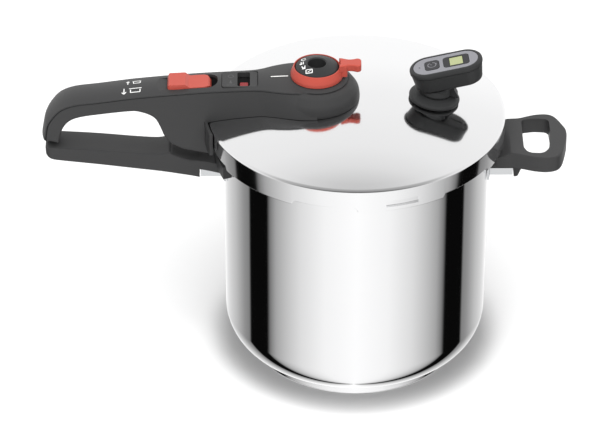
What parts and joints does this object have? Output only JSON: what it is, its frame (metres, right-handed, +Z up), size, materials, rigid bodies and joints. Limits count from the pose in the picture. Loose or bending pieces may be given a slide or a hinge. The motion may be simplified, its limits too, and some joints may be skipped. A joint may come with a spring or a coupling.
{
  "type": "pressure cooker",
  "caption": "Stove-top pressure cooker with bayonet lid, long handles, helper handle, selector valve, sliding lid lock, pressure indicator and clip-on timer.",
  "frame": {"origin": "the pot's axis at the floor, under the flat base", "axes": "+Z up along the pot's axis, the long handles towards -X, the helper handle towards +X"},
  "size_m": [0.444, 0.251, 0.283],
  "materials": {
    "polished_steel": "polished stainless steel",
    "satin_steel": "satin stainless steel",
    "plain_steel": "bare steel",
    "cast_aluminium": "plain",
    "brass_part": "plain",
    "charcoal_plastic": "fine matte grain",
    "dark_plastic": "satin",
    "gloss_black": "gloss",
    "red_plastic": "satin",
    "red_flag": "gloss",
    "grey_silicone": "soft matte",
    "grey_plastic": "fine matte grain",
    "display_glass": "clear gloss",
    "circuit_board": "satin"
  },
  "bodies": {
    "pot": {"pot_vessel": "polished_steel", "base_core": "cast_aluminium", "base_cap": "polished_steel", "long_bracket": "plain_steel", "pot_handle": "charcoal_plastic", "pot_handle_screw": "plain_steel", "helper_bracket": "plain_steel", "helper_handle": "charcoal_plastic", "helper_handle_screw": "plain_steel"},
    "lid": {"lid_shell": "satin_steel", "lid_gasket": "grey_silicone", "handle_body": "charcoal_plastic", "handle_cover": "charcoal_plastic", "window_panel": "dark_plastic", "handle_screw": "plain_steel", "cover_screw_1": "plain_steel", "cover_screw_2": "plain_steel", "valve_body": "plain_steel", "valve_nut": "plain_steel", "steam_guard": "plain_steel", "safety_valve_body": "plain_steel", "safety_valve_nut": "plain_steel", "indicator_bush": "plain_steel", "indicator_nut": "plain_steel", "timer_foot": "dark_plastic", "timer_stud": "plain_steel", "timer_nut": "plain_steel"},
    "selector": {"selector_ring": "red_plastic", "selector_cap": "dark_plastic"},
    "valve": {"valve_plunger": "brass_part", "valve_spring": "plain_steel"},
    "safety": {"safety_ball": "plain_steel", "safety_spring": "plain_steel"},
    "indicator": {"pressure_pin": "plain_steel", "pin_seal": "grey_silicone", "pin_flag": "red_flag"},
    "lock": {"lock_button": "red_plastic", "lock_bolt": "plain_steel"},
    "timer": {"timer_clip": "dark_plastic", "timer_case": "dark_plastic", "timer_bezel": "dark_plastic", "timer_faceplate": "grey_plastic", "timer_lens": "gloss_black", "timer_display": "display_glass", "timer_board": "circuit_board", "timer_buzzer": "dark_plastic", "timer_battery": "plain_steel"},
    "push_button": {"timer_button": "dark_plastic"},
    "door": {"battery_door": "dark_plastic"}
  },
  "joints": [
    {"name": "lid_turn", "type": "hinge", "parent": "pot", "child": "lid", "pos_m": [0, 0, 0.22], "axis": [0, 0, 1], "range_deg": [0, 30]},
    {"name": "selector_turn", "type": "hinge", "parent": "lid", "child": "selector", "pos_m": [-0.0335, 0, 0.265], "axis": [0, 0, 1], "range_deg": [-60, 30]},
    {"name": "valve_lift", "type": "slide", "parent": "lid", "child": "valve", "axis": [0, 0, 1], "range_m": [0, 0.003], "stiffness_N_per_m": 1500, "springref_m": -0.002, "deforming": ["valve_spring"]},
    {"name": "safety_lift", "type": "slide", "parent": "lid", "child": "safety", "axis": [0, 0, 1], "range_m": [0, 0.002], "stiffness_N_per_m": 3000, "springref_m": -0.002, "deforming": ["safety_spring"]},
    {"name": "pin_rise", "type": "slide", "parent": "lid", "child": "indicator", "axis": [0, 0, 1], "range_m": [0, 0.005]},
    {"name": "lock_slide", "type": "slide", "parent": "lid", "child": "lock", "axis": [1, 0, 0], "range_m": [0, 0.005]},
    {"name": "timer_lift", "type": "slide", "parent": "lid", "child": "timer", "axis": [0.1309, 0, 0.9914], "range_m": [0, 0.03]},
    {"name": "button_press", "type": "slide", "parent": "timer", "child": "push_button", "axis": [0.1991, 0.0104, -0.9799], "range_m": [0, 0.001], "stiffness_N_per_m": 800, "springref_m": -0.0006},
    {"name": "door_turn", "type": "hinge", "parent": "timer", "child": "door", "pos_m": [0.09158, 0.00092, 0.26088], "axis": [0.1991, 0.0104, -0.9799], "range_deg": [0, 40]}
  ]
}
